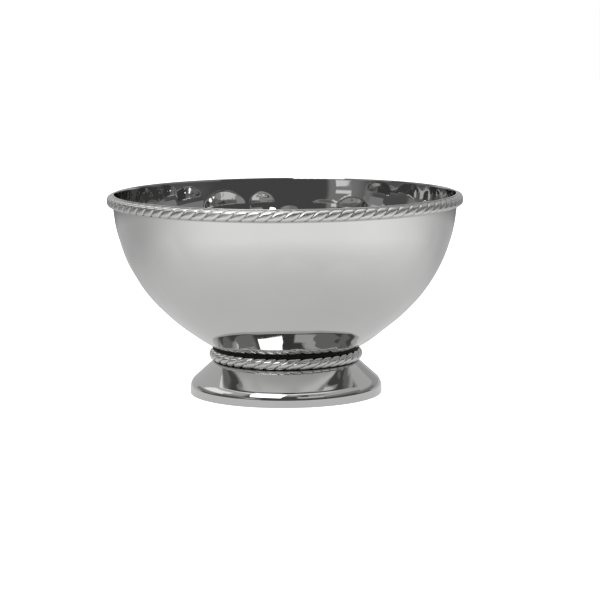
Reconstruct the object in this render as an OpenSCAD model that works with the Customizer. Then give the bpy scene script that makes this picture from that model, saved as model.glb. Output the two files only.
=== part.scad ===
// Footed punch bowl: a spun and hammered steel bowl with a rope bead round its rim,
// standing on a spun foot with a rope ring at its waist. A stud on the bowl's underside
// passes through a dished plate inside the foot, and a nut pulls the two together.
// +Z is up, and the origin is at the centre of the foot's resting edge.

/* [Bowl] */
// Height of the lip above the table
lip_z = 215.9; // [215:0.1:217]
// Outer radius of the bowl at its lip
bowl_r = 184.5; // [184:0.1:185]
// Thickness of the bowl's sheet
bowl_wall = 1.5; // [1.2:0.1:2]
// Lean of the wall at the lip, in degrees from upright
lip_lean = 1; // [0.5:0.1:1.5]
// Radius of the nearly upright arc under the lip
side_r = 201.3; // [200:0.1:203]
// Lean at which the upright arc ends, in degrees
side_end = 6.4; // [6:0.1:7]
// Radius of the arc that turns the wall inwards
turn_r = 172.8; // [172:0.1:174]
// Lean at which the turning arc ends, in degrees
turn_end = 46.7; // [46.4:0.1:47]
// Radius of the long flat arc of the underside
belly_r = 294.3; // [293:0.1:296]
// Lean at which the underside passes into the crown, in degrees
belly_end = 63.4; // [62:0.1:64.5]

/* [Rim rope] */
// Half the height of the rope bead
rim_rope_r = 5.75; // [5.4:0.05:6]
// How far the bead's centre stands outside the wall
rim_rope_stand = 0.46; // [0.3:0.01:0.7]
// How far the bead's top lies below the lip
rim_rope_drop = 1; // [0.6:0.1:1.4]
// Leg of the solder fillet under the bead
solder_leg = 1.3; // [0.8:0.1:1.6]

/* [Foot] */
// Outer radius of the foot's skirt
skirt_r = 103.2; // [102.6:0.1:104]
// Height of the straight skirt
skirt_h = 6.7; // [6.4:0.1:7]
// Thickness of the foot's sheet
foot_wall = 1.2; // [1:0.1:1.3]
// Height of the hem folded up inside the skirt
hem_h = 5; // [4:0.5:6]
// Radius of the shoulder above the skirt
shoulder_r = 12.9; // [12.6:0.1:13.2]
// Lean of the cone's outward normal above level, in degrees
cone_lean = 48; // [47.8:0.1:48.3]
// Height of the ledge on which the rope ring sits
ledge_z = 35.9; // [35.7:0.1:36]
// Radius of the bend between the cone and the ledge
ledge_bend = 2; // [1.6:0.1:2.4]
// Height of the neck above the ledge
neck_h = 8.4; // [8:0.1:8.6]
// Slope of the seat inside the neck, in degrees
seat_slope = 28; // [27:0.5:29]
// Width of the seat
seat_w = 9; // [7:0.5:10]

/* [Waist] */
// Radius of the rope ring's round section
foot_rope_r = 6.25; // [6.1:0.05:6.3]
// Radius of the circle along the middle of the rope ring
foot_rope_mid = 76.4; // [76.2:0.1:76.8]
// Clearance between the rope ring and the neck
ring_gap = 0.05; // [0.03:0.01:0.1]
// Inner radius of the seat gasket
gasket_in = 63; // [62.5:0.5:65]
// Outer radius of the gasket's visible lip
gasket_out = 79; // [77.5:0.5:80]

/* [Fixing] */
// Thread diameter of the stud
stud_d = 8; // [7.5:0.1:8]
// Height of the stud's lower end above the table
stud_end = 7.5; // [6:0.5:9]
// Radius of the disc welded to the bowl's underside
disc_r = 26; // [22:1:28]
// Thickness of that disc
disc_t = 2; // [1.6:0.1:2.2]
// Outer radius of the dished clamp plate
clamp_r = 76; // [75:0.5:76.5]
// Thickness of the clamp plate
clamp_t = 2; // [1.8:0.1:2.2]
// Height of the clamp plate's flat middle
clamp_low = 20.5; // [20:0.1:21]
// Outer diameter of the wide washer
washer_d = 30; // [24:1:34]
// Width of the nut across its flats
nut_flats = 13; // [12.5:0.5:13]
// Height of the nut
nut_h = 6.5; // [6:0.1:6.8]

/* [Hidden] */
$fn = 180;
steel = [0.80, 0.80, 0.80];
zinc = [0.62, 0.63, 0.64];
black = [0.03, 0.03, 0.03];
solder_grey = [0.66, 0.66, 0.67];
bowl_step = 5;        // length of each straight step along the bowl's section
foot_step = 0.9;      // the same along the foot's small bends
lip_step = 0.4;       // the same round the lip

function down(a) = [cos(a), -sin(a)];  // unit vector a degrees below level
function up(a) = [cos(a), sin(a)];     // unit vector a degrees above level
function backwards(list) = [for (i = [len(list) - 1 : -1 : 0]) list[i]];

// Points on an arc from a to b degrees below level, leaving out its first point
function arc(centre, radius, a, b, size) =
    let (n = ceil(abs(b - a) * PI / 180 * radius / size))
    [for (i = [1 : n]) centre + radius * down(a + (b - a) * i / n)];

// Centres of the four arcs of the bowl's outer face; neighbours share a normal where they meet
lip_r = bowl_wall / 2;
side_c = [bowl_r, lip_z - lip_r] - side_r * down(lip_lean);
turn_c = side_c + (side_r - turn_r) * down(side_end);
belly_c = turn_c + (turn_r - belly_r) * down(turn_end);
belly_low = belly_c + belly_r * down(belly_end);
crown_r = belly_low[0] / cos(belly_end);
crown_c = [0, belly_low[1] + crown_r * sin(belly_end)];
crown_low = crown_c[1] - crown_r;

// The bowl's section from just below the lip to the axis, inset from its outer face
function lip_end(inset) = side_c + (side_r - inset) * down(lip_lean);
function bowl_line(inset) = concat(
    arc(side_c, side_r - inset, lip_lean, side_end, bowl_step),
    arc(turn_c, turn_r - inset, side_end, turn_end, bowl_step),
    arc(belly_c, belly_r - inset, turn_end, belly_end, bowl_step),
    arc(crown_c, crown_r - inset, belly_end, 90, bowl_step));

// Middle of the rope bead's section
rim_rope_z = lip_z - rim_rope_drop - rim_rope_r;
wall_at_rope = side_c[0] + sqrt(pow(side_r, 2) - pow(side_c[1] - rim_rope_z, 2));
rim_rope_c = [wall_at_rope + rim_rope_stand, rim_rope_z];
solder_land = 0.15;   // thickness left at the outer end of the solder fillet

// The foot's section from the skirt to the ledge, inset from its outer face
shoulder_c = [skirt_r - shoulder_r, skirt_h];
cone_low = shoulder_c + shoulder_r * up(cone_lean);
bend_z = ledge_z - ledge_bend;
cone_h = bend_z + ledge_bend * sin(cone_lean) - cone_low[1];
bend_c = [cone_low[0] - cone_h * tan(cone_lean) - ledge_bend * cos(cone_lean), bend_z];
function foot_line(inset) = concat(
    [[skirt_r - inset, skirt_h]],
    arc(shoulder_c, shoulder_r - inset, 0, -cone_lean, foot_step),
    [bend_c + (ledge_bend - inset) * up(cone_lean)],
    arc(bend_c, ledge_bend - inset, -cone_lean, -90, foot_step));

// The neck and its seat, and the rope ring round it
neck_r = foot_rope_mid - foot_rope_r - ring_gap;
neck_top = ledge_z + neck_h;
foot_rope_c = [foot_rope_mid, ledge_z + foot_rope_r];
rope_clear = 0.1;     // between the gasket's lip and the rope ring
seat_clear = 0.05;    // between the gasket and the seat
gasket_rise = 0.8;    // from the top of the neck to the underside of the gasket's lip
function seat_z(r) = neck_top - (neck_r - r) * tan(seat_slope);

// The clamp plate, and the stack of washers and nut under it
clamp_top = ledge_z - foot_wall;
clamp_rim = 12;       // width of the flat rim that bears on the ledge
clamp_flat = 30;      // radius of the flat middle
clamp_hole = stud_d / 2 + 0.25;
washer_t = 2;
lock_d = 14.8;
lock_t = 2;
lock_slit = 1.2;
washer_z = clamp_low - washer_t;
lock_z = washer_z - lock_t;
nut_z = lock_z - nut_h;
nut_chamfer = 0.8;
pitch = 1.25;         // spacing of the grooves that stand for the stud's thread
thread_depth = 0.35;
thread_top = clamp_low - 1;

// The whole space inside the bowl's outer face, for cutting its neighbours to fit it
module inside_bowl() {
    polygon(concat([lip_end(0)], bowl_line(0), [[0, lip_z]]));
}

module bowl() {
    lip = arc(lip_end(lip_r), lip_r, -180 + lip_lean, lip_lean, lip_step);
    color(steel) rotate_extrude()
        polygon(concat([lip_end(bowl_wall)], lip, bowl_line(0), backwards(bowl_line(bowl_wall))));
}

// A round bead whose back is hollowed to lie flat against the wall
module rim_rope() {
    color(steel) rotate_extrude() difference() {
        translate(rim_rope_c) circle(rim_rope_r);
        inside_bowl();
    }
}

// A fillet with a hollow face in the corner under the bead
module rim_solder() {
    corner = [wall_at_rope, rim_rope_z - rim_rope_r];
    hollow = corner + [solder_leg, -solder_leg - solder_land];
    overlap = 1;
    color(solder_grey) rotate_extrude() difference() {
        polygon(concat(
            [corner + [-overlap, overlap], corner + [solder_leg, overlap]],
            arc(hollow, solder_leg, -90, -180, lip_step),
            [hollow + [-solder_leg - overlap, 0]]));
        translate(rim_rope_c) circle(rim_rope_r);
        inside_bowl();
    }
}

// One sheet: hem, skirt, shoulder, cone, ledge, neck, and the sloping seat inside the neck
module foot() {
    hem_r = skirt_r - 2 * foot_wall;
    seat_r = neck_r - seat_w;
    seat_t = foot_wall / cos(seat_slope);
    inner_r = neck_r - foot_wall;
    color(steel) rotate_extrude() polygon(concat(
        [[hem_r, 0], [skirt_r, 0]],
        foot_line(0),
        [[neck_r, ledge_z], [neck_r, neck_top], [seat_r, seat_z(seat_r)],
         [seat_r, seat_z(seat_r) - seat_t], [inner_r, seat_z(inner_r) - seat_t],
         [inner_r, ledge_z - foot_wall]],
        backwards(foot_line(foot_wall)),
        [[skirt_r - foot_wall, hem_h], [hem_r, hem_h]]));
}

module foot_rope() {
    color(steel) rotate_extrude() translate(foot_rope_c) circle(foot_rope_r);
}

// A ring that fills the wedge between the seat and the bowl, with a lip over the rope ring
module seat_gasket() {
    lip_low = neck_top + gasket_rise;
    above = neck_top + 2 * foot_rope_r;
    color(black) rotate_extrude() difference() {
        polygon([[gasket_in, seat_z(gasket_in) + seat_clear], [neck_r, neck_top + seat_clear],
                 [neck_r, lip_low], [gasket_out, lip_low], [gasket_out, above], [gasket_in, above]]);
        inside_bowl();
        translate(foot_rope_c) circle(foot_rope_r + rope_clear);
    }
}

module stud_disc() {
    color(zinc) difference() {
        intersection() {
            translate([0, 0, crown_c[1]]) sphere(crown_r + disc_t);
            cylinder(h = crown_c[1], r = disc_r);
        }
        translate([0, 0, crown_c[1]]) sphere(crown_r);
    }
}

module stud() {
    root = crown_low - disc_t;
    color(zinc) difference() {
        translate([0, 0, stud_end]) cylinder(h = root + 1 - stud_end, d = stud_d);
        translate([0, 0, crown_c[1]]) sphere(crown_r + disc_t);
        for (z = [stud_end + pitch : pitch : thread_top]) translate([0, 0, z]) rotate_extrude()
            translate([stud_d / 2, 0])
                polygon([[0.01, -pitch / 2.5], [0.01, pitch / 2.5], [-thread_depth, 0]]);
    }
}

// A flat middle, a sloping wall and a flat rim, with a hole for the stud
module clamp_plate() {
    upper = [[clamp_hole, clamp_low + clamp_t], [clamp_flat, clamp_low + clamp_t],
             [clamp_r - clamp_rim, clamp_top], [clamp_r, clamp_top]];
    lower = [for (p = upper) p - [0, clamp_t]];
    color(zinc) rotate_extrude() polygon(concat(upper, backwards(lower)));
}

module ring(z, outer, inner, height) {
    translate([0, 0, z]) difference() {
        cylinder(h = height, d = outer);
        translate([0, 0, -1]) cylinder(h = height + 2, d = inner);
    }
}

module wide_washer() {
    color(zinc) ring(washer_z, washer_d, stud_d + 0.4, washer_t);
}

module lock_washer() {
    color(zinc) difference() {
        ring(lock_z, lock_d, stud_d + 0.2, lock_t);
        translate([0, -lock_slit / 2, lock_z - 1]) cube([lock_d, lock_slit, lock_t + 2]);
    }
}

// The bore is at the thread's full diameter
module hex_nut() {
    across = nut_flats / cos(30);
    rim = nut_flats / 2 + 2 * nut_chamfer;
    color(zinc) difference() {
        intersection() {
            translate([0, 0, nut_z]) cylinder(h = nut_h, d = across, $fn = 6);
            rotate_extrude() polygon([[0, nut_z], [nut_flats / 2, nut_z], [rim, nut_z + nut_chamfer],
                                      [rim, lock_z - nut_chamfer], [nut_flats / 2, lock_z], [0, lock_z]]);
        }
        translate([0, 0, nut_z - 1]) cylinder(h = nut_h + 2, d = stud_d + 0.02);
    }
}

bowl();
rim_rope();
rim_solder();
foot();
foot_rope();
seat_gasket();
stud_disc();
stud();
clamp_plate();
wide_washer();
lock_washer();
hex_nut();
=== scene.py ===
"""A footed punch bowl in hammered, mirror-polished steel, with rope trim round its rim and its waist.

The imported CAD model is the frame. The bowl's shell, the two ropes and the foot are built here at
full detail on the CAD dimensions, and the hidden fixing keeps its CAD solids with better materials.
Everything is in metres, +Z up, with the origin at the centre of the foot's resting edge.
"""
import math

import bpy
import numpy as np
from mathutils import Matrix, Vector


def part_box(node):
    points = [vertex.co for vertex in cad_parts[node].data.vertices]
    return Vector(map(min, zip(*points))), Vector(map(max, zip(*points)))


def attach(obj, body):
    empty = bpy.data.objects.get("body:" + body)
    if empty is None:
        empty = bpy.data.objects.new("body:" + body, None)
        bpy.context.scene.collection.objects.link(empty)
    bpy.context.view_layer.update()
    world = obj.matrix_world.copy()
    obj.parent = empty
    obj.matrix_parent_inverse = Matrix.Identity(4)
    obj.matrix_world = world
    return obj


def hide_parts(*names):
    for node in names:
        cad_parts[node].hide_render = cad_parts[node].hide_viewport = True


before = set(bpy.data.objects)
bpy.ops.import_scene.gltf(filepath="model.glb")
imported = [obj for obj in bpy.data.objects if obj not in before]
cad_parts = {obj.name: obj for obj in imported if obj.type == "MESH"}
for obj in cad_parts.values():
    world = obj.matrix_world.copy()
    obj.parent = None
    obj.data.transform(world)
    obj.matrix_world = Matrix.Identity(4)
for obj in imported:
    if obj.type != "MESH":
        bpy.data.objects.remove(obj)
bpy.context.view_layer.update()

MM = 0.001
DEG = math.pi / 180
FULL_TURN = 2 * math.pi

# ---------------------------------------------------------------- dimensions shared with the CAD
rope_low, rope_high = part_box("rim_rope")
ring_low, ring_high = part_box("foot_rope")
bowl_high, foot_high, gasket_high = (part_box(node)[1] for node in ("bowl", "foot", "seat_gasket"))

LIP_Z = 215.9 * MM
BOWL_R = bowl_high[0]
WALL = 1.5 * MM
LIP_LEAN, SIDE_END, TURN_END, BELLY_END = 1.0, 6.4, 46.7, 63.4     # degrees from upright
SIDE_R, TURN_R, BELLY_R = 201.3 * MM, 172.8 * MM, 294.3 * MM

RIM_ROPE_R = (rope_high[2] - rope_low[2]) / 2
RIM_ROPE_C = (rope_high[0] - RIM_ROPE_R, (rope_high[2] + rope_low[2]) / 2)
FOOT_ROPE_R = (ring_high[2] - ring_low[2]) / 2
FOOT_ROPE_C = (ring_high[0] - FOOT_ROPE_R, (ring_high[2] + ring_low[2]) / 2)

SKIRT_R, SKIRT_H = foot_high[0], 6.7 * MM
FOOT_WALL, HEM_H = 1.2 * MM, 5 * MM
SHOULDER_R, CONE_LEAN = 12.9 * MM, 48.0
LEDGE_Z, LEDGE_BEND = 35.9 * MM, 2 * MM
NECK_H, SEAT_SLOPE, SEAT_W = 8.4 * MM, 28.0, 9 * MM

# ---------------------------------------------------------------- hammer marks and unevenness
# dents of the far wall: degrees from the back, drop of the centre from the lip, radius, depth (mm)
FAR_DENTS = ((-72, 14, 18, 0.7), (-59, 12, 17, 0.7), (-47, 14, 15, 1.0), (-37, 22, 16, 0.8),
             (-22, 42, 29, 2.2), (-8.5, 32, 16, 1.9), (1.5, 54, 21, 1.3),
             (14, 56, 31, 1.3), (25.5, 46, 25, 2.0), (35.5, 15, 17, 1.1), (50, 11, 17, 0.8),
             (64, 12, 17, 0.7), (78, 14, 17, 0.7))
# the other dents: their width, depth and first row, and how these vary by hand, in shares of them
DENT_W, DENT_DEPTH, FIRST_ROW, DENT_SEED = 42 * MM, 0.7 * MM, 36 * MM, 7
DENT_PITCH, DENT_STRAY, DROP_STRAY = 1.05, 0.3, 0.22
DENT_RADIUS, DENT_FORCE, ROW_PITCH, LAST_ROW = (0.42, 0.62), (0.5, 1.5), (0.84, 0.98), 0.3
INNER_RIDGE, OUTER_RIDGE = 0.10 * MM, 0.2 * MM                      # softness between the dents
OUTER_SHARE, UNDER_SHARE = 0.45, 1.2                                # of the depth, on the outer face
UNDER_END, UNDER_FADE = 115 * MM, 25 * MM                           # radii of the fuller outer marks
ROPE_CLEAR, ROPE_FADE, GASKET_FADE = 3 * MM, 25 * MM, 3.5 * MM      # plain metal beside the neighbours

COLLAR_H, COLLAR_LEAN, COLLAR_DEPTH, COLLAR_BLEND = 15 * MM, 5.2, 0.55 * MM, 0.08 * MM
BELOW_COLLAR = 0.02                                                 # the wall's taper below it
LIP_PLAIN, LIP_FADE, LIP_SWELL_FADE = 1 * MM, 5 * MM, 8 * MM
SWELL_OUT, SWELL_OUT_SEED = 0.25 * MM, 21
SWELL_IN, SWELL_IN_SEED = 0.5 * MM, 22
OUTER_STEP, INNER_STEP = 2.5 * MM, 1.9 * MM                         # mesh spacing
LIP_ROWS, LIP_SQUARE = 16, 4

STRAND_FLAT, BUFFED = 4, 0.25
# where the ropes are painted dark: groove bottoms past this share of their depth, and painted shade this
# many degrees round each contact with a neighbouring part
GROOVE_DARK_FROM, CONTACT_SHADE_REACH = 0.62, 26
FOOT_WAVE, FOOT_SEED, FOOT_COLUMNS = 0.10 * MM, 3, 760
WAVE_FROM, WAVE_RISE, WAVE_CLEAR, WAVE_FALL = 8 * MM, 6 * MM, 3 * MM, 4 * MM    # heights on the cone
CREVICE_SHADE_REACH, CREVICE_SHADE_FADE = 3 * MM, 1.5 * MM                      # painted shade round the rope ring


# ---------------------------------------------------------------- camera
def make_camera():
    """The photograph's view, from a little above the rim."""
    distance, elevation, target_z, roll = 2.604, 7.665 * DEG, 0.1075, -0.35 * DEG
    data = bpy.data.cameras.new("camera")
    data.lens = 145.1
    data.sensor_width = 36
    data.shift_x = 0.0242
    data.shift_y = -0.0121
    camera = bpy.data.objects.new("camera", data)
    bpy.context.collection.objects.link(camera)
    camera.location = (0, -distance * math.cos(elevation), target_z + distance * math.sin(elevation))
    camera.rotation_mode = "ZXY"
    camera.rotation_euler = (math.pi / 2 - elevation, 0, 0)
    camera.rotation_euler.rotate_axis("Z", roll)
    bpy.context.scene.camera = camera


# ---------------------------------------------------------------- small helpers
def rise(value, start, width):
    """0 up to start, then a straight climb to 1 over the width."""
    return np.clip((value - start) / width, 0, 1)


def fall(value, end, width):
    """A straight drop from 1 to 0 over the width, that ends at end."""
    return np.clip((end - value) / width, 0, 1)


def lean_direction(lean):
    """Unit (r, z) vector that points lean degrees below level."""
    a = np.radians(lean)
    return np.stack([np.cos(a), -np.sin(a)], axis=-1)


def around(r, turn, z):
    """Points, or directions, at radius r and height z, turned round the axis."""
    return np.stack(np.broadcast_arrays(r * np.cos(turn), r * np.sin(turn), z), axis=-1)


def even_turns(count):
    return FULL_TURN * np.arange(count) / count


def superellipse(cosine, sine, power):
    """Radius, in units of its half width, of a squarish round section: 2 is a circle."""
    return (abs(cosine) ** power + abs(sine) ** power) ** (-1 / power)


def new_object(name, points, faces, hollow=None):
    """A mesh object. The optional mask marks, from 0 to 1, where the steel is painted dark: painted
    shade where parts touch, and the bottoms of rope grooves.
    """
    mesh = bpy.data.meshes.new(name)
    mesh.from_pydata([tuple(p) for p in points], [], [tuple(int(i) for i in f) for f in faces])
    mesh.validate()
    mesh.shade_smooth()
    if hollow is not None:
        mesh.attributes.new("hollow", "FLOAT", "POINT").data.foreach_set("value", np.ravel(hollow))
    obj = bpy.data.objects.new(name, mesh)
    bpy.context.collection.objects.link(obj)
    return obj


def ring_quads(count, rows):
    """Faces of a closed section of so many rows that is repeated count times round the axis."""
    i, j = np.meshgrid(np.arange(count), np.arange(rows), indexing="ij")
    i2, j2 = (i + 1) % count, (j + 1) % rows
    corners = [i * rows + j, i2 * rows + j, i2 * rows + j2, i * rows + j2]
    return np.stack(corners, axis=2).reshape(-1, 4)


def stitch(first, count_a, second, count_b, flip):
    """Triangles between two rings of points with different counts, advancing round both together."""
    faces = []
    a = b = 0
    while a < count_a or b < count_b:
        go_a = b >= count_b or (a < count_a and (a + 1) / count_a <= (b + 1) / count_b)
        p, q = first + a % count_a, second + b % count_b
        if go_a:
            face = (p, first + (a + 1) % count_a, q)
            a += 1
        else:
            face = (p, second + (b + 1) % count_b, q)
            b += 1
        if len(set(face)) == 3:
            faces.append(face[::-1] if flip else face)
    return faces


# ---------------------------------------------------------------- the bowl's section
SIDE_C = np.array([BOWL_R, LIP_Z - WALL / 2]) - SIDE_R * lean_direction(LIP_LEAN)
TURN_C = SIDE_C + (SIDE_R - TURN_R) * lean_direction(SIDE_END)
BELLY_C = TURN_C + (TURN_R - BELLY_R) * lean_direction(TURN_END)
BELLY_LOW = BELLY_C + BELLY_R * lean_direction(BELLY_END)
CROWN_R = BELLY_LOW[0] / math.cos(BELLY_END * DEG)
CROWN_C = np.array([0.0, BELLY_LOW[1] + CROWN_R * math.sin(BELLY_END * DEG)])
BOWL_ARCS = ((SIDE_C, SIDE_R, LIP_LEAN, SIDE_END), (TURN_C, TURN_R, SIDE_END, TURN_END),
             (BELLY_C, BELLY_R, TURN_END, BELLY_END), (CROWN_C, CROWN_R, BELLY_END, 90.0))


def bowl_point(lean, inset):
    for centre, radius, _, end in BOWL_ARCS:
        if lean <= end:
            return centre + (radius - inset) * lean_direction(lean)
    return CROWN_C + (CROWN_R - inset) * lean_direction(90.0)


def bowl_section(inset, step):
    """Evenly spaced (r, z) points and leans from the lip to the axis, inset from the outer face."""
    arcs = [np.linspace(a, b, 400, endpoint=False) for _, _, a, b in BOWL_ARCS]
    leans = np.concatenate(arcs + [[90.0]])
    points = np.array([bowl_point(lean, inset) for lean in leans])
    length = np.concatenate([[0], np.cumsum(np.linalg.norm(np.diff(points, axis=0), axis=1))])
    count = int(round(length[-1] / step))
    even = np.interp(np.linspace(0, length[-1], count + 1), length, leans)
    return np.array([bowl_point(lean, inset) for lean in even]), even


def wall_radius(z):
    """Outer radius of the bowl's wall near the rim."""
    return SIDE_C[0] + np.sqrt(SIDE_R ** 2 - (SIDE_C[1] - z) ** 2)


# ---------------------------------------------------------------- the bowl
def swell(points, size, seed):
    """A slow unevenness of the spun sheet, as a few waves round the bowl that lean with the height."""
    rng = np.random.default_rng(seed)
    turn = np.arctan2(points[:, 1], points[:, 0])
    total = np.zeros(len(points))
    for k in range(5, 15):
        phase, lean = rng.uniform(0, 6.28), rng.uniform(-60, 60)
        total += rng.uniform(0.4, 1.0) * np.sin(k * turn + phase + lean * points[:, 2]) / k
    return total * size


class HammerMarks:
    """Overlapping round dents, beaten from the inside in uneven rows round the bowl. The first row is
    listed for the far wall, where the inside shows."""

    def __init__(self):
        rng = np.random.default_rng(DENT_SEED)
        section, _ = bowl_section(WALL, 1 * MM)
        length = np.arange(len(section)) * 1 * MM
        self.dents = []

        def add(turn, drop, radius, depth):
            r, z = (np.interp(drop, length, section[:, axis]) for axis in (0, 1))
            self.dents.append((r * math.sin(turn), r * math.cos(turn), z, radius, depth))

        for turn, drop, radius, depth in FAR_DENTS:
            add(turn * DEG, drop * MM, radius * MM, depth * MM)
        first, last = FAR_DENTS[-1][0] * DEG, FAR_DENTS[0][0] * DEG + FULL_TURN
        drop = FIRST_ROW
        while drop < length[-1] - DENT_W * LAST_ROW:
            r = np.interp(drop, length, section[:, 0])
            count = max(1, int(round((last - first) * r / (DENT_W * DENT_PITCH))))
            shift = rng.uniform(0, 1)
            for i in range(count):
                place = i + shift + rng.uniform(-DENT_STRAY, DENT_STRAY)
                add(first + (last - first) * place / count,
                    drop + rng.uniform(-DROP_STRAY, DROP_STRAY) * DENT_W,
                    DENT_W * rng.uniform(*DENT_RADIUS), DENT_DEPTH * rng.uniform(*DENT_FORCE))
            first, last = 0, FULL_TURN
            drop += DENT_W * rng.uniform(*ROW_PITCH)
        self.dents = np.array(self.dents)

    def depth(self, points, blend):
        """How far each point is pushed outwards, from 0 at the dents' rims. blend is the softness of
        the ridges between them."""
        out = np.empty(len(points))
        centres, radius, depth = self.dents[:, :3], self.dents[:, 3], self.dents[:, 4]
        block = 4000                                                # points at a time, to save memory
        for start in range(0, len(points), block):
            part = points[start:start + block]
            square = ((part[:, None, :] - centres[None, :, :]) ** 2).sum(axis=2)
            level = depth[None, :] * (1 - square / radius[None, :] ** 2) / blend
            top = level.max(axis=1)
            total = np.exp(level - top[:, None]).sum(axis=1)
            out[start:start + block] = blend * (top + np.log(total))
        return out


def shell_side(inset, step, dents):
    """Points of one face of the bowl, ring by ring from the lip down, pushed outwards by its dents."""
    section, leans = bowl_section(inset, step)
    counts = [max(1, int(round(FULL_TURN * r / step))) if r > step / 2 else 1 for r in section[:, 0]]
    points, normals = [], []
    for (r, z), lean, count in zip(section, leans, counts):
        n_r, n_z = lean_direction(lean)
        points.append(around(r, even_turns(count), z))
        normals.append(around(n_r, even_turns(count), n_z))
    points, normals = np.concatenate(points), np.concatenate(normals)
    return points + normals * dents(points)[:, None], counts


def make_bowl():
    """One closed shell: hammered inside, nearly smooth outside, with a rounded lip."""
    marks = HammerMarks()

    def outer_dents(points):
        """Faint marks, fuller low on the bowl, and none where the rope and the gasket touch it."""
        below_rope = fall(points[:, 2], rope_low[2] - ROPE_CLEAR, ROPE_FADE)
        fade = below_rope * below_rope * (3 - 2 * below_rope)
        radius = np.hypot(points[:, 0], points[:, 1])
        share = OUTER_SHARE + (UNDER_SHARE - OUTER_SHARE) * fall(radius, UNDER_END, UNDER_FADE)
        free = rise(radius, gasket_high[0], GASKET_FADE)
        dent = share * marks.depth(points, OUTER_RIDGE)
        return (dent + swell(points, SWELL_OUT, SWELL_OUT_SEED)) * fade * free

    def inner_dents(points):
        """The dents start below a plain collar, a straight flare that ends at the lip."""
        drop = LIP_Z - points[:, 2]
        straight = np.minimum(drop, COLLAR_H)
        collar = straight ** 2 / (2 * SIDE_R) - straight * math.tan((COLLAR_LEAN - LIP_LEAN) * DEG)
        collar -= BELOW_COLLAR * (drop - straight)
        collar += swell(points, SWELL_IN, SWELL_IN_SEED) * rise(drop, 0, LIP_SWELL_FADE) ** 2
        dent = marks.depth(points, INNER_RIDGE) - COLLAR_DEPTH
        gain = COLLAR_BLEND * np.logaddexp(0, (dent - collar) / COLLAR_BLEND)
        return collar + gain * rise(drop, LIP_PLAIN, LIP_FADE)

    outer, outer_counts = shell_side(0.0, OUTER_STEP, outer_dents)
    inner, inner_counts = shell_side(WALL, INNER_STEP, inner_dents)
    points = [outer, inner]
    faces = []
    for start, counts, flip in ((0, outer_counts, True), (len(outer), inner_counts, False)):
        for count, after in zip(counts, counts[1:]):
            faces += stitch(start, count, start + count, after, flip)
            start += count

    # the lip, flat with rounded edges, joins the first rings of the two faces
    lip_c = SIDE_C + (SIDE_R - WALL / 2) * lean_direction(LIP_LEAN)
    count = outer_counts[0]
    rings = [(0, count)]
    total = len(outer) + len(inner)
    for i in range(1, LIP_ROWS):
        side = 180 * i / LIP_ROWS
        squared = superellipse(math.cos(side * DEG), math.sin(side * DEG), LIP_SQUARE)
        r, z = lip_c + WALL / 2 * squared * lean_direction(LIP_LEAN - side)
        points.append(around(r, even_turns(count), z))
        rings.append((total, count))
        total += count
    rings.append((len(outer), inner_counts[0]))
    for (a, count_a), (b, count_b) in zip(rings, rings[1:]):
        faces += stitch(a, count_a, b, count_b, False)
    return new_object("hammered_bowl", np.concatenate(points), faces)


# ---------------------------------------------------------------- the ropes
def make_rope(name, centre, tube, square, grooves, strands, bias, depth, offset, columns, rows,
              contacts, back, seed):
    """A ring of rope, as a grid of columns for each groove and rows round its section.

    grooves cross the ring's front, and bias turns the strands faster on its outer side. square is 2
    for a round section and more for a flatter one, because a buffing wheel flattens the front.
    contacts are the angles round the section where it touches its neighbours, where painted shade
    darkens it, and back gives the radius that the ring's back lies flat on. The bottoms of the grooves
    are painted dark too."""
    rng = np.random.default_rng(seed)
    count = grooves * columns
    phi, psi = np.meshgrid(even_turns(count), even_turns(rows), indexing="ij")
    wobble = sum(rng.uniform(-0.05, 0.05) * np.sin(k * phi + rng.uniform(0, 6.28)) for k in range(3, 14))
    phase = grooves * (phi + math.pi / 2 - offset) - strands * psi - bias * np.sin(psi)
    across = 2 * np.mod(phase / FULL_TURN + wobble, 1) - 1
    sag = np.abs(across) ** STRAND_FLAT
    buffed = 1 - BUFFED * np.cos(psi) ** 2
    rho = tube * superellipse(np.cos(psi), np.sin(psi), square) - depth * sag * buffed
    r = centre[0] + rho * np.cos(psi)
    z = centre[1] + rho * np.sin(psi)
    if back is not None:
        r = np.maximum(r, back(z) + 0.02 * MM)
    # painted dark: the groove bottoms, then painted shade round each contact with a neighbour
    hollow = rise(sag, GROOVE_DARK_FROM, 1 - GROOVE_DARK_FROM)
    for contact in contacts:
        turn = np.abs(np.mod(psi - contact * DEG + math.pi, FULL_TURN) - math.pi)
        hollow = np.maximum(hollow, fall(turn, CONTACT_SHADE_REACH * DEG, CONTACT_SHADE_REACH / 2 * DEG))
    return new_object(name, around(r, phi, z).reshape(-1, 3), ring_quads(count, rows), hollow)


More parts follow.
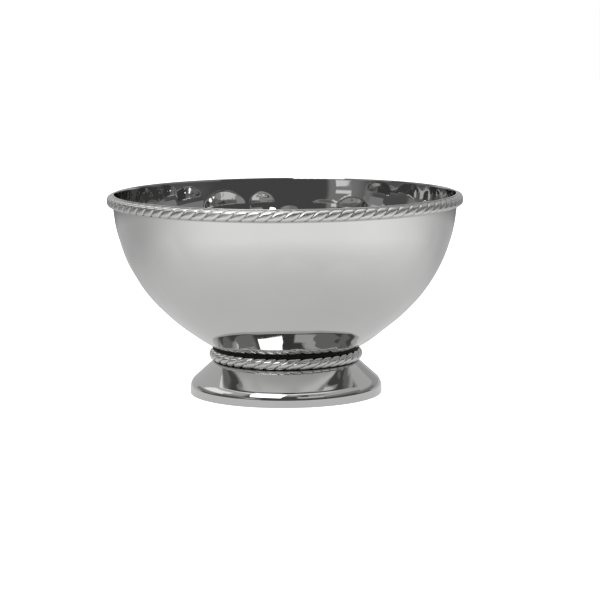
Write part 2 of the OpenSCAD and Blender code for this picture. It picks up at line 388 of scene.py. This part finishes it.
# ---------------------------------------------------------------- the foot
def foot_outline():
    """The closed (r, z) outline of the foot's sheet, outer face first."""
    def arc(centre, radius, a, b, count):
        leans = [a + (b - a) * i / count for i in range(count + 1)]
        return [tuple(centre + radius * lean_direction(lean)) for lean in leans]

    shoulder_c = np.array([SKIRT_R - SHOULDER_R, SKIRT_H])
    bend_z = LEDGE_Z - LEDGE_BEND
    cone_low = shoulder_c + SHOULDER_R * lean_direction(-CONE_LEAN)
    cone_h = bend_z + LEDGE_BEND * math.sin(CONE_LEAN * DEG) - cone_low[1]
    bend_c = np.array([cone_low[0] - cone_h * math.tan(CONE_LEAN * DEG)
                       - LEDGE_BEND * math.cos(CONE_LEAN * DEG), bend_z])
    neck_r = FOOT_ROPE_C[0] - FOOT_ROPE_R - 0.05 * MM
    neck_top = LEDGE_Z + NECK_H
    slope = math.tan(SEAT_SLOPE * DEG)
    seat_r, seat_z = neck_r - SEAT_W, neck_top - SEAT_W * slope
    seat_t = FOOT_WALL / math.cos(SEAT_SLOPE * DEG)
    inner_r = neck_r - FOOT_WALL

    def sheet(inset):
        """The skirt, shoulder, cone and bend, inset from the outer face."""
        skirt = [(SKIRT_R - inset, SKIRT_H * k) for k in (0.25, 0.5, 0.75)]
        low = arc(shoulder_c, SHOULDER_R - inset, 0, -CONE_LEAN, 24)
        high = arc(bend_c, LEDGE_BEND - inset, -CONE_LEAN, -90, 6)
        start, end, sections = np.array(low[-1]), np.array(high[0]), 24
        cone = [tuple(start + (end - start) * i / sections) for i in range(1, sections)]
        return skirt + low + cone + high

    edge = 0.4 * MM
    hem_r = SKIRT_R - 2 * FOOT_WALL
    outer = [(hem_r + edge, 0), (SKIRT_R - edge, 0), (SKIRT_R - 0.3 * edge, 0.3 * edge), (SKIRT_R, edge)]
    outer += sheet(0)
    outer += [(neck_r, LEDGE_Z), (neck_r, neck_top - edge), (neck_r - edge, neck_top - edge * slope),
              (seat_r, seat_z), (seat_r, seat_z - seat_t)]
    inner = [(inner_r, neck_top - FOOT_WALL * slope - seat_t), (inner_r, LEDGE_Z - FOOT_WALL)]
    inner += [p for p in reversed(sheet(FOOT_WALL)) if p[1] > HEM_H]
    inner += [(SKIRT_R - FOOT_WALL, HEM_H), (hem_r + edge, HEM_H), (hem_r, HEM_H - edge), (hem_r, edge)]
    return np.array(outer + inner)


def make_foot():
    """The spun foot, turned on its outline, with the slight unevenness of a hand-polished spinning."""
    outline = foot_outline()
    radii, heights = outline[:, 0], outline[:, 1]
    turn = even_turns(FOOT_COLUMNS)[:, None]
    rng = np.random.default_rng(FOOT_SEED)
    wave = np.zeros((FOOT_COLUMNS, len(outline)))
    for k in range(5, 19):
        phase, lift = rng.uniform(0, 6.28), rng.uniform(-1, 1) * 250
        wave += rng.uniform(0.2, 1.0) * np.sin(k * turn + phase + lift * heights[None, :]) / k
    on_cone = rise(heights, WAVE_FROM, WAVE_RISE) * fall(heights, LEDGE_Z - WAVE_CLEAR, WAVE_FALL)
    shift = FOOT_WAVE * wave * on_cone[None, :]
    points = around(radii[None, :] + shift * math.cos(CONE_LEAN * DEG), turn,
                    heights[None, :] + shift * math.sin(CONE_LEAN * DEG))

    # painted shade round the rope ring: on the ledge under it and in a band beside it
    under_ring = (heights > LEDGE_Z - 1 * MM) & (radii < FOOT_ROPE_C[0])
    gap = np.hypot(radii - FOOT_ROPE_C[0], heights - LEDGE_Z)
    crevice_shade = np.where(under_ring, 1, fall(gap, CREVICE_SHADE_REACH, CREVICE_SHADE_FADE))
    foot = new_object("spun_foot", points.reshape(-1, 3), ring_quads(FOOT_COLUMNS, len(outline)),
                      np.tile(crevice_shade, (FOOT_COLUMNS, 1)))
    foot.data.set_sharp_from_angle(angle=30 * DEG)
    return foot


# ---------------------------------------------------------------- materials
STEEL_LIGHT, STEEL_DARK = (0.655, 0.655, 0.65), (0.62, 0.62, 0.615)
# near-black steel for painted shade where parts touch and for the dark groove bottoms
SHADE_AND_GROOVE_COLOUR, SHADE_AND_GROOVE_ROUGHNESS = (0.05, 0.05, 0.048), 0.5


class Nodes:
    """A small helper round a material's node tree."""

    def __init__(self, name):
        self.material = bpy.data.materials.new(name)
        self.material.use_nodes = True
        self.tree = self.material.node_tree
        self.shader = self.tree.nodes["Principled BSDF"]
        self.object_place = self.add("ShaderNodeTexCoord").outputs["Object"]

    def add(self, kind, **settings):
        node = self.tree.nodes.new(kind)
        for key, value in settings.items():
            setattr(node, key, value)
        return node

    def link(self, a, b):
        self.tree.links.new(a, b)

    def noise(self, scale, detail=4, stretch=(1, 1, 1)):
        mapping = self.add("ShaderNodeMapping")
        mapping.inputs["Scale"].default_value = stretch
        self.link(self.object_place, mapping.inputs["Vector"])
        node = self.add("ShaderNodeTexNoise")
        node.inputs["Scale"].default_value = scale
        node.inputs["Detail"].default_value = detail
        self.link(mapping.outputs["Vector"], node.inputs["Vector"])
        return node.outputs["Fac"]

    def rescale(self, noise, low, high):
        """Stretches the middle of a noise's range to low and high."""
        node = self.add("ShaderNodeMapRange")
        for key, number in (("From Min", 0.3), ("From Max", 0.7), ("To Min", low), ("To Max", high)):
            node.inputs[key].default_value = number
        self.link(noise, node.inputs["Value"])
        return node.outputs["Result"]

    def blend_colour(self, factor, a, b):
        """Mixes colour a, a triple or another node's output, with the triple b."""
        node = self.add("ShaderNodeMix", data_type="RGBA")
        if isinstance(a, tuple):
            node.inputs[6].default_value = (*a, 1)
        else:
            self.link(a, node.inputs[6])
        node.inputs[7].default_value = (*b, 1)
        self.link(factor, node.inputs["Factor"])
        return node.outputs[2]

    def blend_number(self, factor, a, b):
        node = self.add("ShaderNodeMix")
        self.link(a, node.inputs["A"])
        node.inputs["B"].default_value = b
        self.link(factor, node.inputs["Factor"])
        return node.outputs["Result"]

    def bump(self, height, strength, distance):
        node = self.add("ShaderNodeBump")
        node.inputs["Strength"].default_value = strength
        node.inputs["Distance"].default_value = distance
        self.link(height, node.inputs["Height"])
        self.link(node.outputs["Normal"], self.shader.inputs["Normal"])


def polished_steel(name, smooth, rough, with_shade_and_grooves=False):
    """Buffed stainless steel: a mirror with faint polishing haze and fine wipe marks. A masked piece is
    painted dark and rough by its mask: painted shade where parts touch, and dark groove bottoms."""
    n = Nodes(name)
    n.shader.inputs["Metallic"].default_value = 1.0
    haze = n.noise(9, 5)
    colour = n.blend_colour(n.rescale(haze, 0, 1), STEEL_LIGHT, STEEL_DARK)
    wipes = n.noise(60, 8, (1, 1, 6))
    roughness = n.rescale(wipes, smooth, rough)
    # painted shade and dark groove bottoms, read from the mesh's mask
    if with_shade_and_grooves:
        hollow = n.add("ShaderNodeAttribute", attribute_name="hollow").outputs["Fac"]
        colour = n.blend_colour(hollow, colour, SHADE_AND_GROOVE_COLOUR)
        roughness = n.blend_number(hollow, roughness, SHADE_AND_GROOVE_ROUGHNESS)
    n.link(colour, n.shader.inputs["Base Color"])
    n.link(roughness, n.shader.inputs["Roughness"])
    n.bump(n.noise(900, 3), 0.02, 0.00002)
    return n.material


def plain_steel(name, colour, dark, smooth, rough, scale):
    """Unpolished sheet or plated steel with a fine even grain."""
    n = Nodes(name)
    n.shader.inputs["Metallic"].default_value = 1.0
    stain = n.noise(35, 5)
    n.link(n.blend_colour(n.rescale(stain, 0, 1), colour, dark), n.shader.inputs["Base Color"])
    grain = n.noise(scale, 6)
    n.link(n.rescale(grain, smooth, rough), n.shader.inputs["Roughness"])
    n.bump(grain, 0.25, 0.00005)
    return n.material


# The seat gasket is a guessed part, painted near black as shade for the gap between the bowl and the
# rope ring.
def shade_black_gasket():
    n = Nodes("shade_black_gasket")
    speckle = n.noise(400, 4)
    n.link(n.blend_colour(n.rescale(speckle, 0, 1), (0.002, 0.002, 0.002), (0.005, 0.005, 0.005)),
           n.shader.inputs["Base Color"])
    n.shader.inputs["Specular IOR Level"].default_value = 0.12
    n.link(n.rescale(speckle, 0.55, 0.7), n.shader.inputs["Roughness"])
    n.bump(speckle, 0.2, 0.00005)
    return n.material


def paint(obj, material):
    obj.data.materials.clear()
    obj.data.materials.append(material)


# ---------------------------------------------------------------- studio
# Azimuths are in degrees seen from the object: 0 is behind the camera and positive to its right.
# Reflecting cards: name, azimuth and elevation in degrees, distance, width and height, strength.
CARDS = (("key_softbox", -26, 40, 1.9, 1.22, 1.02, 2.8),
         ("doorway", -43, 11, 2.5, 0.50, 0.13, 0.85),
         ("left_flag", -69, 20.5, 2.2, 1.08, 0.46, 0.28),
         ("right_flag", 76, 21.5, 2.2, 2.2, 0.50, 0.26))

FLOOR_R, FLOOR_GLOW, FLOOR_FADE = 7.0, 0.9, (0.4, 2.0)
TABLE_AXIS = 12                                                     # azimuth of its brightest part
# TABLE_NEAR dims the mirrored table near the foot as a painted shadow of the bowl
TABLE_NEAR, TABLE_FRONT, TABLE_BACK, TABLE_END = 0.68, 1.05, 0.50, 0.45
TABLE_NEAR_FADE, TABLE_BACK_FADE, TABLE_END_FADE = (0.14, 0.62), (-0.6, 0.75), (1.0, 1.7)
DRUM_R, DRUM_LOW, DRUM_HIGH, DRUM_SIDES = 6.9, -0.01, 6.0, 96

# strengths of the room's light
WALLS, CEILING, SKIRTING, SIDE_LOW, SIDE_DARK = 0.52, 1.25, 0.11, 0.24, 0.10
ROOM_DARK, ROOM_THINGS = 0.08, 0.38
# patches of wall: azimuth, the cosines from it where the patch begins and is full, strength
LEFT_GLOW = (-102, 0.90, 0.93, 1.15)
BACK_RIGHT = (140, 0.80, 0.88, 0.38)
BACK_SHADE = (160, 0.72, 0.84, 0.15)
LOW_WALL = (-46, 0.955, 0.975, 0.24)
MID_WALL = (38, 0.90, 0.95, 0.28)
CORNER = (38, 0.90, 0.93, 0.66)
# changes with height, as sines of the elevation: in the pale part, then in the dark part
SKIRTING_TOP, SIDE_TOP, GLOW_FROM = (0.08, 0.11), (0.25, 0.30), (0.32, 0.37)
SHADE_FROM, CEILING_FROM = (0.60, 0.68), (0.74, 0.84)
LOW_TOP, MID_TOP, CORNER_TOP = (0.27, 0.31), (0.34, 0.38), (0.50, 0.56)
DARK_CEILING_FROM = (0.72, 0.86)
# changes towards the front, as cosines of the azimuth
SIDE_LOW_FROM, SIDE_DARK_FROM = (-0.78, -0.66), (-0.20, 0.00)
SKIRTING_FROM, DARK_FROM = (-0.62, -0.45), (0.45, 0.68)


def emitter(name, strength):
    material = bpy.data.materials.new(name)
    material.use_nodes = True
    tree = material.node_tree
    tree.nodes.clear()
    out = tree.nodes.new("ShaderNodeOutputMaterial")
    glow = tree.nodes.new("ShaderNodeEmission")
    glow.inputs["Color"].default_value = (1, 1, 1, 1)
    glow.inputs["Strength"].default_value = strength
    tree.links.new(glow.outputs[0], out.inputs["Surface"])
    return material


def card(name, azimuth, elevation, distance, width, height, strength):
    """A glowing rectangle that faces the object. It shows in reflections, never to the camera."""
    points = [(-width / 2, -height / 2, 0), (width / 2, -height / 2, 0),
              (width / 2, height / 2, 0), (-width / 2, height / 2, 0)]
    obj = new_object(name, points, [(0, 1, 2, 3)])
    a, e = azimuth * DEG, elevation * DEG
    obj.location = (distance * math.sin(a) * math.cos(e), -distance * math.cos(a) * math.cos(e),
                    distance * math.sin(e))
    obj.rotation_euler = (math.pi / 2 - e, 0, a)
    paint(obj, emitter(name, strength))
    obj.visible_camera = False


def ramp(tree, value, span, start, end):
    """A smooth step of a node's output between two levels, which are numbers or outputs."""
    node = tree.nodes.new("ShaderNodeMapRange")
    node.interpolation_type = "SMOOTHSTEP"
    node.inputs["From Min"].default_value, node.inputs["From Max"].default_value = span
    for key, level in (("To Min", start), ("To Max", end)):
        if isinstance(level, (int, float)):
            node.inputs[key].default_value = level
        else:
            tree.links.new(level, node.inputs[key])
    tree.links.new(value, node.inputs["Value"])
    return node.outputs["Result"]


def vector_math(tree, operation, a, b=None):
    node = tree.nodes.new("ShaderNodeVectorMath")
    node.operation = operation
    tree.links.new(a, node.inputs[0])
    if b is not None:
        node.inputs[1].default_value = b
    return node.outputs["Value"] if operation in ("LENGTH", "DOT_PRODUCT") else node.outputs["Vector"]


def multiply(tree, a, b):
    node = tree.nodes.new("ShaderNodeMath")
    node.operation = "MULTIPLY"
    tree.links.new(a, node.inputs[0])
    tree.links.new(b, node.inputs[1])
    return node.outputs["Value"]


def facing(tree, level, azimuth):
    """How nearly a level direction points to an azimuth, as a cosine."""
    turn = azimuth * DEG
    return vector_math(tree, "DOT_PRODUCT", level, (math.sin(turn), -math.cos(turn), 0))


def disc(name, radius, count=128):
    return new_object(name, around(radius, even_turns(count), 0), [tuple(range(count))])


def hide_from(obj, *rays):
    for ray in rays:
        setattr(obj, "visible_" + ray, False)


def make_floor():
    """The pale table top as the camera sees it."""
    floor = disc("floor", FLOOR_R)
    material = bpy.data.materials.new("pale_table")
    material.use_nodes = True
    tree = material.node_tree
    shader = tree.nodes["Principled BSDF"]
    shader.inputs["Base Color"].default_value = (0.82, 0.82, 0.82, 1)
    shader.inputs["Roughness"].default_value = 0.9
    shader.inputs["Specular IOR Level"].default_value = 0.1
    shader.inputs["Emission Color"].default_value = (1, 1, 1, 1)
    radius = vector_math(tree, "LENGTH", tree.nodes.new("ShaderNodeTexCoord").outputs["Object"])
    tree.links.new(ramp(tree, radius, FLOOR_FADE, FLOOR_GLOW, 1.0), shader.inputs["Emission Strength"])
    paint(floor, material)
    hide_from(floor, "glossy")


def make_table_image():
    """The table top as the steel mirrors it: bright in front, darker behind, and dimmed beside the foot
    by a painted shadow of the bowl.
    """
    table = disc("table_in_steel", FLOOR_R)
    material = emitter("table_in_steel", 1.0)
    tree = material.node_tree
    place = tree.nodes.new("ShaderNodeTexCoord").outputs["Object"]
    radius = vector_math(tree, "LENGTH", place)
    front = facing(tree, vector_math(tree, "NORMALIZE", place), TABLE_AXIS)
    far = ramp(tree, front, TABLE_BACK_FADE, TABLE_BACK, TABLE_FRONT)
    far = multiply(tree, far, ramp(tree, radius, TABLE_END_FADE, 1.0, TABLE_END))
    glow = next(node for node in tree.nodes if node.type == "EMISSION")
    tree.links.new(ramp(tree, radius, TABLE_NEAR_FADE, TABLE_NEAR, far), glow.inputs["Strength"])
    paint(table, material)
    hide_from(table, "camera", "diffuse", "shadow", "transmission", "volume_scatter")


def make_backdrop():
    """A pale drum round the whole set that only the camera sees."""
    points = np.concatenate([around(DRUM_R, even_turns(DRUM_SIDES), z) for z in (DRUM_LOW, DRUM_HIGH)])
    low = np.arange(DRUM_SIDES)
    after = (low + 1) % DRUM_SIDES
    faces = np.stack([low, after, after + DRUM_SIDES, low + DRUM_SIDES], axis=1)
    drum = new_object("backdrop", points, faces)
    paint(drum, emitter("backdrop_white", 1.0))
    hide_from(drum, "diffuse", "glossy", "transmission", "volume_scatter", "shadow")


def make_world():
    """A pale room whose part behind the camera is dark up to the ceiling."""
    world = bpy.data.worlds.new("room")
    bpy.context.scene.world = world
    world.use_nodes = True
    tree = world.node_tree
    direction = tree.nodes.new("ShaderNodeTexCoord").outputs["Generated"]
    height = vector_math(tree, "DOT_PRODUCT", direction, (0, 0, 1))
    level = vector_math(tree, "NORMALIZE", vector_math(tree, "MULTIPLY", direction, (1, 1, 0)))
    front = facing(tree, level, 0)

    def patch(azimuth, begins, full, strength, wall):
        return ramp(tree, facing(tree, level, azimuth), (begins, full), wall, strength)

    right = patch(*BACK_RIGHT, WALLS)
    pale = ramp(tree, height, GLOW_FROM, right, patch(*LEFT_GLOW, WALLS))
    pale = ramp(tree, height, SHADE_FROM, pale, patch(*BACK_SHADE, WALLS))
    pale = ramp(tree, height, CEILING_FROM, pale, CEILING)
    side = ramp(tree, front, SIDE_LOW_FROM, right, SIDE_LOW)
    side = ramp(tree, front, SIDE_DARK_FROM, side, SIDE_DARK)
    pale = ramp(tree, height, SIDE_TOP, side, pale)
    skirting = ramp(tree, front, SKIRTING_FROM, WALLS, SKIRTING)
    pale = ramp(tree, height, SKIRTING_TOP, skirting, pale)

    shapes = tree.nodes.new("ShaderNodeTexNoise")
    shapes.inputs["Scale"].default_value = 4.5
    shapes.inputs["Detail"].default_value = 1.5
    tree.links.new(direction, shapes.inputs["Vector"])
    dark = ramp(tree, shapes.outputs["Fac"], (0.52, 0.57), ROOM_DARK, ROOM_THINGS)
    dark = ramp(tree, height, CORNER_TOP, patch(*CORNER, ROOM_DARK), dark)
    dark = ramp(tree, height, MID_TOP, patch(*MID_WALL, ROOM_DARK), dark)
    dark = ramp(tree, height, LOW_TOP, patch(*LOW_WALL, ROOM_DARK), dark)
    dark = ramp(tree, height, DARK_CEILING_FROM, dark, CEILING)

    background = tree.nodes["Background"]
    background.inputs["Color"].default_value = (1, 1, 1, 1)
    tree.links.new(ramp(tree, front, DARK_FROM, pale, dark), background.inputs["Strength"])


# ---------------------------------------------------------------- build
make_camera()

scene = bpy.context.scene
scene.view_settings.view_transform = "Standard"
scene.view_settings.look = "None"

bowl = make_bowl()
rim_rope = make_rope("rope_bead", RIM_ROPE_C, RIM_ROPE_R, square=3.0, grooves=88, strands=2, bias=0.7,
                     depth=1.35 * MM, offset=0.0, columns=22, rows=36, contacts=(150,),
                     back=wall_radius, seed=5)
foot = make_foot()
foot_rope = make_rope("rope_ring", FOOT_ROPE_C, FOOT_ROPE_R, square=2.0, grooves=40, strands=3,
                      bias=0.45, depth=1.6 * MM, offset=-3.1 * DEG, columns=32, rows=42,
                      contacts=(-90, 180), back=None, seed=9)

for piece, node, slot, steel in (
        (bowl, "bowl", "hammered_steel", polished_steel("hammered_steel", 0.03, 0.05)),
        (rim_rope, "rim_rope", "rope_steel", polished_steel("rope_steel", 0.20, 0.32, with_shade_and_grooves=True)),
        (foot, "foot", "foot_steel", polished_steel("foot_steel", 0.03, 0.06, with_shade_and_grooves=True)),
        (foot_rope, "foot_rope", "rope_steel", polished_steel("ring_steel", 0.13, 0.24, with_shade_and_grooves=True))):
    paint(piece, steel)
    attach(piece, "root")
    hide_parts(node)

plate_steel = plain_steel("plate_steel", (0.60, 0.60, 0.60), (0.50, 0.50, 0.49), 0.28, 0.42, 300)
bright_plating = plain_steel("bright_plating", (0.66, 0.66, 0.64), (0.56, 0.56, 0.53), 0.22, 0.36, 700)
solder_metal = plain_steel("solder_metal", (0.60, 0.60, 0.60), (0.52, 0.52, 0.51), 0.25, 0.4, 500)
NODE_MATERIALS = {
    "rim_solder": solder_metal, "seat_gasket": shade_black_gasket(), "stud_disc": plate_steel,
    "clamp_plate": plate_steel, "stud": bright_plating, "wide_washer": bright_plating,
    "lock_washer": bright_plating, "hex_nut": bright_plating,
}
for name, material in NODE_MATERIALS.items():
    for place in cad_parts[name].material_slots:
        place.material = material

make_floor()
make_table_image()
make_backdrop()
make_world()
for row in CARDS:
    card(*row)
